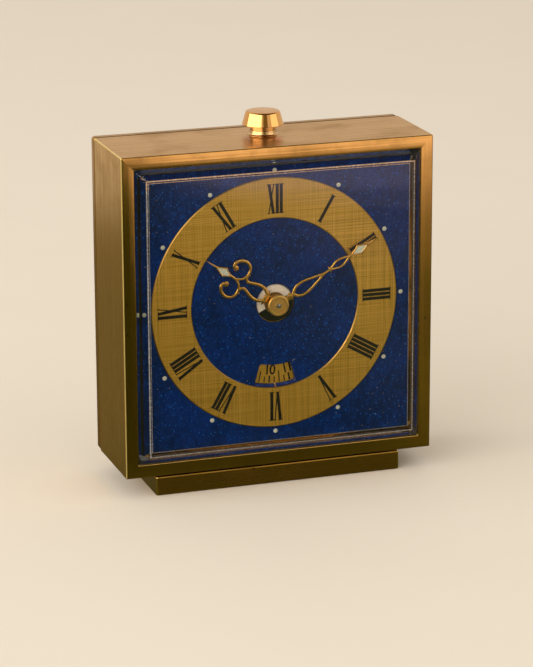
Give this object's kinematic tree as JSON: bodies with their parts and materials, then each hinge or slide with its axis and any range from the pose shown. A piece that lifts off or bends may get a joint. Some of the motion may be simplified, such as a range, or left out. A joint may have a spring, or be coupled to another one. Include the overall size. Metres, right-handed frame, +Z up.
{
  "type": "travel alarm clock",
  "caption": "Square brass travel alarm clock on a low foot: bevelled clear front, blue dial with chapter ring, fretted hands, alarm window, top button, folding winding keys.",
  "frame": {"origin": "middle of the whole clock in plan, on the surface that the foot stands on", "axes": "+Z up, +X to the right as seen from the front, +Y from the dial to the back"},
  "size_m": [0.075, 0.0318, 0.0866],
  "materials": {
    "satin_brass": "satin brushed brass with an aged lacquer",
    "polished_gilt": "polished gilt",
    "movement_brass": "plain grained brass",
    "steel": "bright steel",
    "blued_steel": "blued steel",
    "clear_crystal": "clear polished",
    "black_gasket": "matt black",
    "lapis_dial": "satin deep blue with lighter and gilt flecks",
    "gilt_linen": "gilt with a fine linen grain",
    "day_night": "half silvery white, half black"
  },
  "bodies": {
    "case": {"case_body": "satin_brass", "front_bezel": "satin_brass", "crystal": "clear_crystal", "crystal_gasket": "black_gasket", "dial_retaining_frame": "movement_brass", "dial_plate": "lapis_dial", "chapter_ring": "gilt_linen", "foot_plate": "satin_brass", "foot_screw_left": "polished_gilt", "foot_screw_right": "polished_gilt", "rear_cover": "satin_brass", "cover_screw_1": "polished_gilt", "cover_screw_2": "polished_gilt", "cover_screw_3": "polished_gilt", "cover_screw_4": "polished_gilt", "button_collar": "polished_gilt", "front_plate": "movement_brass", "back_plate": "movement_brass", "plate_pillar_1": "movement_brass", "plate_pillar_2": "movement_brass", "plate_pillar_3": "movement_brass", "plate_pillar_4": "movement_brass", "gong": "steel"},
    "minute": {"minute_hand": "polished_gilt", "hand_cap": "polished_gilt", "cannon_pinion": "steel", "centre_arbor": "steel", "time_set_knob": "polished_gilt"},
    "hour": {"hour_hand": "polished_gilt", "hour_wheel": "movement_brass"},
    "day_night": {"day_night_disc": "day_night", "day_wheel": "movement_brass"},
    "minute_wheel": {"minute_wheel": "movement_brass"},
    "intermediate": {"intermediate_wheel": "movement_brass"},
    "alarm_dial": {"alarm_disc": "gilt_linen"},
    "alarm_setter": {"alarm_set_arbor": "steel", "alarm_set_knob": "polished_gilt"},
    "button": {"alarm_button": "polished_gilt"},
    "stop_lever": {"alarm_stop_lever": "steel"},
    "time_winder": {"time_key_stem": "steel", "time_ratchet_wheel": "steel"},
    "time_bow": {"time_key_bow": "polished_gilt"},
    "alarm_winder": {"alarm_key_stem": "steel", "alarm_ratchet_wheel": "steel"},
    "alarm_bow": {"alarm_key_bow": "polished_gilt"},
    "regulator": {"regulator_lever": "steel"},
    "time_barrel": {"time_barrel": "movement_brass", "time_mainspring": "steel"},
    "second": {"second_wheel": "movement_brass"},
    "centre": {"centre_wheel": "movement_brass"},
    "third": {"third_wheel": "movement_brass"},
    "fourth": {"fourth_wheel": "movement_brass"},
    "escape": {"escape_wheel": "steel"},
    "pallet": {"pallet_fork": "steel"},
    "balance": {"balance_wheel": "movement_brass", "hairspring": "blued_steel"},
    "alarm_barrel": {"alarm_barrel": "movement_brass", "alarm_mainspring": "steel"},
    "hammer_wheel": {"hammer_wheel": "steel"},
    "hammer": {"alarm_hammer": "steel"}
  },
  "joints": [
    {"name": "minute_hand_turn", "type": "hinge", "parent": "case", "child": "minute", "pos_m": [0, -0.01155, 0.0431], "axis": [0, 1, 0], "continuous": true},
    {"name": "hour_hand_turn", "type": "hinge", "parent": "case", "child": "hour", "pos_m": [0, -0.01085, 0.0431], "axis": [0, 1, 0], "continuous": true},
    {"name": "day_night_turn", "type": "hinge", "parent": "case", "child": "day_night", "pos_m": [0, -0.00915, 0.0431], "axis": [0, 1, 0], "continuous": true},
    {"name": "minute_wheel_turn", "type": "hinge", "parent": "case", "child": "minute_wheel", "pos_m": [-0.00866, -0.00535, 0.0481], "axis": [0, 1, 0], "continuous": true},
    {"name": "intermediate_turn", "type": "hinge", "parent": "case", "child": "intermediate", "pos_m": [0.00843, -0.00675, 0.03603], "axis": [0, 1, 0], "continuous": true},
    {"name": "alarm_disc_turn", "type": "hinge", "parent": "case", "child": "alarm_dial", "pos_m": [0, -0.0084, 0.0431], "axis": [0, 1, 0], "continuous": true},
    {"name": "alarm_knob_turn", "type": "hinge", "parent": "case", "child": "alarm_setter", "pos_m": [0, 0.01375, 0.0179], "axis": [0, 1, 0], "continuous": true},
    {"name": "alarm_button_press", "type": "slide", "parent": "case", "child": "button", "axis": [0, 0, -1], "range_m": [0, 0.0022]},
    {"name": "stop_lever_swing", "type": "hinge", "parent": "case", "child": "stop_lever", "pos_m": [0.009, 0.00015, 0.0686], "axis": [0, -1, 0], "range_deg": [-1, 16.5]},
    {"name": "time_key_wind", "type": "hinge", "parent": "case", "child": "time_winder", "pos_m": [-0.01807, 0.01375, 0.03407], "axis": [0, 1, 0], "continuous": true},
    {"name": "time_bow_fold", "type": "hinge", "parent": "time_winder", "child": "time_bow", "pos_m": [-0.01807, 0.01375, 0.03407], "axis": [1, 0, 0], "range_deg": [0, 180]},
    {"name": "alarm_key_wind", "type": "hinge", "parent": "case", "child": "alarm_winder", "pos_m": [0.018, 0.01375, 0.0341], "axis": [0, 1, 0], "continuous": true},
    {"name": "alarm_bow_fold", "type": "hinge", "parent": "alarm_winder", "child": "alarm_bow", "pos_m": [0.018, 0.01375, 0.0341], "axis": [1, 0, 0], "range_deg": [0, 180]},
    {"name": "regulator_swing", "type": "hinge", "parent": "case", "child": "regulator", "pos_m": [0.018, 0.00565, 0.0565], "axis": [0, 1, 0], "range_deg": [-18, 18]},
    {"name": "fourth_wheel_turn", "type": "hinge", "parent": "case", "child": "fourth", "pos_m": [0.00172, -0.00255, 0.0565], "axis": [0, 1, 0], "continuous": true},
    {"name": "escape_wheel_turn", "type": "hinge", "parent": "case", "child": "escape", "pos_m": [0.00788, 0.00195, 0.0565], "axis": [0, 1, 0], "continuous": true},
    {"name": "third_wheel_turn", "type": "hinge", "parent": "case", "child": "third", "pos_m": [0.00405, -0.00095, 0.05011], "axis": [0, 1, 0], "continuous": true},
    {"name": "centre_wheel_turn", "type": "hinge", "parent": "case", "child": "centre", "pos_m": [0, 0.00085, 0.0431], "axis": [0, 1, 0], "continuous": true},
    {"name": "second_wheel_turn", "type": "hinge", "parent": "case", "child": "second", "pos_m": [-0.00822, 0.00295, 0.04011], "axis": [0, 1, 0], "continuous": true},
    {"name": "time_barrel_turn", "type": "hinge", "parent": "case", "child": "time_barrel", "pos_m": [-0.01807, -0.00075, 0.03407], "axis": [0, 1, 0], "continuous": true},
    {"name": "pallet_rock", "type": "hinge", "parent": "case", "child": "pallet", "pos_m": [0.01218, 0.00195, 0.0565], "axis": [0, 1, 0], "range_deg": [-5, 5]},
    {"name": "balance_swing", "type": "hinge", "parent": "case", "child": "balance", "pos_m": [0.018, -0.00095, 0.0565], "axis": [0, 1, 0], "range_deg": [-150, 150], "stiffness_Nm_per_rad": 0.0000009},
    {"name": "alarm_barrel_turn", "type": "hinge", "parent": "case", "child": "alarm_barrel", "pos_m": [0.018, -0.00075, 0.0341], "axis": [0, 1, 0], "continuous": true},
    {"name": "hammer_wheel_turn", "type": "hinge", "parent": "case", "child": "hammer_wheel", "pos_m": [0.02052, 0.00595, 0.04349], "axis": [0, 1, 0], "continuous": true},
    {"name": "hammer_strike", "type": "hinge", "parent": "case", "child": "hammer", "pos_m": [0.0253, 0.00595, 0.0493], "axis": [0, 1, 0], "range_deg": [0, 8], "stiffness_Nm_per_rad": 0.0002, "springref_deg": -5.73}
  ],
  "couplings": [
    {"joint": "hour_hand_turn", "follows": "minute_hand_turn", "ratio": 0.083333},
    {"joint": "day_night_turn", "follows": "minute_hand_turn", "ratio": 0.041667},
    {"joint": "minute_wheel_turn", "follows": "minute_hand_turn", "ratio": -0.33333},
    {"joint": "intermediate_turn", "follows": "minute_hand_turn", "ratio": -0.083333},
    {"joint": "alarm_knob_turn", "follows": "alarm_disc_turn", "ratio": -6},
    {"joint": "stop_lever_swing", "follows": "alarm_button_press", "rad_per_m": 125},
    {"joint": "escape_wheel_turn", "follows": "fourth_wheel_turn", "ratio": -8},
    {"joint": "third_wheel_turn", "follows": "fourth_wheel_turn", "ratio": -0.13333},
    {"joint": "centre_wheel_turn", "follows": "fourth_wheel_turn", "ratio": 0.016667},
    {"joint": "second_wheel_turn", "follows": "fourth_wheel_turn", "ratio": -0.0027778},
    {"joint": "time_barrel_turn", "follows": "fourth_wheel_turn", "ratio": 0.00046296},
    {"joint": "hammer_wheel_turn", "follows": "alarm_barrel_turn", "ratio": -5}
  ]
}
